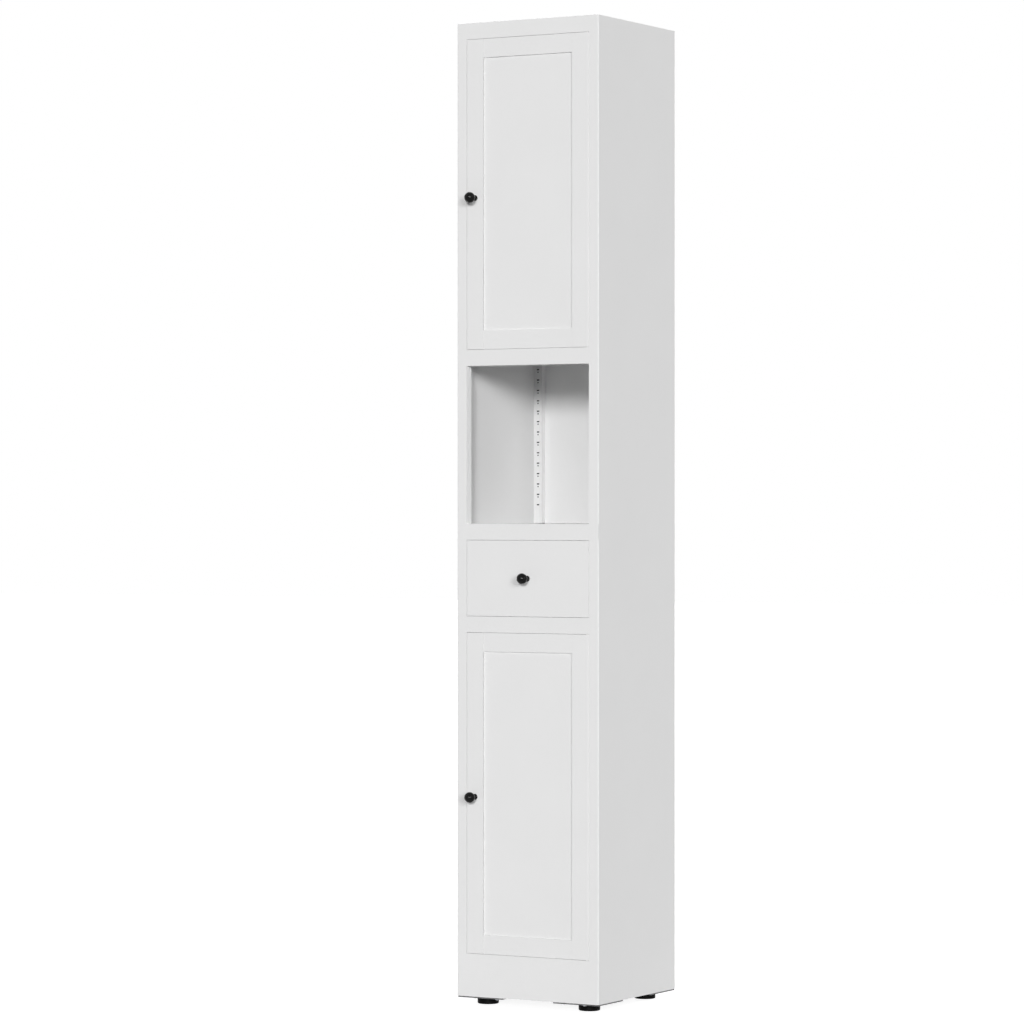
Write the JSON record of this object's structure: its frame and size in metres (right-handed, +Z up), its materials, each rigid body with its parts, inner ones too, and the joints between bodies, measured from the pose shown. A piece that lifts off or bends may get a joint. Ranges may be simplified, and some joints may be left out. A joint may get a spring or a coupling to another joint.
{
  "type": "tall bathroom cabinet",
  "caption": "Slim tower cabinet of folded sheet steel with hinged doors above and below, an open niche, a drawer and levelling feet.",
  "frame": {"origin": "on the floor, in the middle of the space that the cabinet takes with its knobs", "axes": "+Z up, the front with its doors faces -Y, +X to the right seen from the front"},
  "size_m": [0.3, 0.3316, 1.828],
  "materials": {
    "powder_coat": "white powder coat, satin, fine orange peel",
    "phosphated_steel": "dark grey phosphated steel",
    "zinc_plate": "bright zinc plate",
    "black_gloss": "glossy black lacquer",
    "nylon": "natural nylon",
    "black_rubber": "matt black rubber",
    "ferrite": "pressed ferrite",
    "foot_plastic": "black moulded nylon on a zinc-plated stud"
  },
  "bodies": {
    "cabinet": {"base_pan": "powder_coat", "lower_side_left": "powder_coat", "lower_side_right": "powder_coat", "lower_back_panel": "powder_coat", "lower_post_left": "powder_coat", "lower_post_right": "powder_coat", "drawer_floor_pan": "powder_coat", "middle_pan": "powder_coat", "upper_side_left": "powder_coat", "upper_side_right": "powder_coat", "upper_back_panel": "powder_coat", "upper_post_left": "powder_coat", "upper_post_right": "powder_coat", "niche_ceiling_pan": "powder_coat", "top_pan": "powder_coat", "lower_shelf": "powder_coat", "upper_shelf_low": "powder_coat", "upper_shelf_high": "powder_coat", "corner_plate_front_left": "phosphated_steel", "corner_plate_front_right": "phosphated_steel", "corner_plate_rear_left": "phosphated_steel", "corner_plate_rear_right": "phosphated_steel", "shelf_clips": "zinc_plate", "hinge_pins": "zinc_plate", "catch_screws": "zinc_plate", "drawer_runner_left": "zinc_plate", "drawer_runner_right": "zinc_plate", "back_screws": "zinc_plate", "joint_bolts": "zinc_plate", "joint_nuts": "zinc_plate", "corner_plate_screws": "zinc_plate", "foot_nuts": "zinc_plate", "catch_housings": "nylon", "runner_glides": "nylon", "drawer_stops": "black_rubber", "catch_magnets": "ferrite"},
    "upper_door": {"upper_door_skin": "powder_coat", "upper_door_liner": "powder_coat", "upper_door_knob": "black_gloss", "upper_knob_screw": "zinc_plate", "upper_door_bushes": "nylon", "upper_strike_plate": "zinc_plate"},
    "lower_door": {"lower_door_skin": "powder_coat", "lower_door_liner": "powder_coat", "lower_door_knob": "black_gloss", "lower_knob_screw": "zinc_plate", "lower_door_bushes": "nylon", "lower_strike_plate": "zinc_plate"},
    "drawer": {"drawer_front": "powder_coat", "drawer_liner": "powder_coat", "drawer_box": "powder_coat", "drawer_knob": "black_gloss", "drawer_knob_screw": "zinc_plate", "drawer_rail_left": "zinc_plate", "drawer_rail_right": "zinc_plate", "drawer_glides": "nylon"},
    "foot_front_left": {"foot_front_left": "foot_plastic"},
    "foot_front_right": {"foot_front_right": "foot_plastic"},
    "foot_rear_left": {"foot_rear_left": "foot_plastic"},
    "foot_rear_right": {"foot_rear_right": "foot_plastic"}
  },
  "joints": [
    {"name": "upper_door_swing", "type": "hinge", "parent": "cabinet", "child": "upper_door", "pos_m": [0.1255, -0.1325, 1.509], "axis": [0, 0, 1], "range_deg": [0, 100]},
    {"name": "lower_door_swing", "type": "hinge", "parent": "cabinet", "child": "lower_door", "pos_m": [0.1255, -0.1325, 0.395], "axis": [0, 0, 1], "range_deg": [0, 100]},
    {"name": "drawer_slide", "type": "slide", "parent": "cabinet", "child": "drawer", "axis": [0, -1, 0], "range_m": [0, 0.19]},
    {"name": "foot_front_left_level", "type": "slide", "parent": "cabinet", "child": "foot_front_left", "axis": [0, 0, -1], "range_m": [0, 0.012]},
    {"name": "foot_front_right_level", "type": "slide", "parent": "cabinet", "child": "foot_front_right", "axis": [0, 0, -1], "range_m": [0, 0.012]},
    {"name": "foot_rear_left_level", "type": "slide", "parent": "cabinet", "child": "foot_rear_left", "axis": [0, 0, -1], "range_m": [0, 0.012]},
    {"name": "foot_rear_right_level", "type": "slide", "parent": "cabinet", "child": "foot_rear_right", "axis": [0, 0, -1], "range_m": [0, 0.012]}
  ]
}
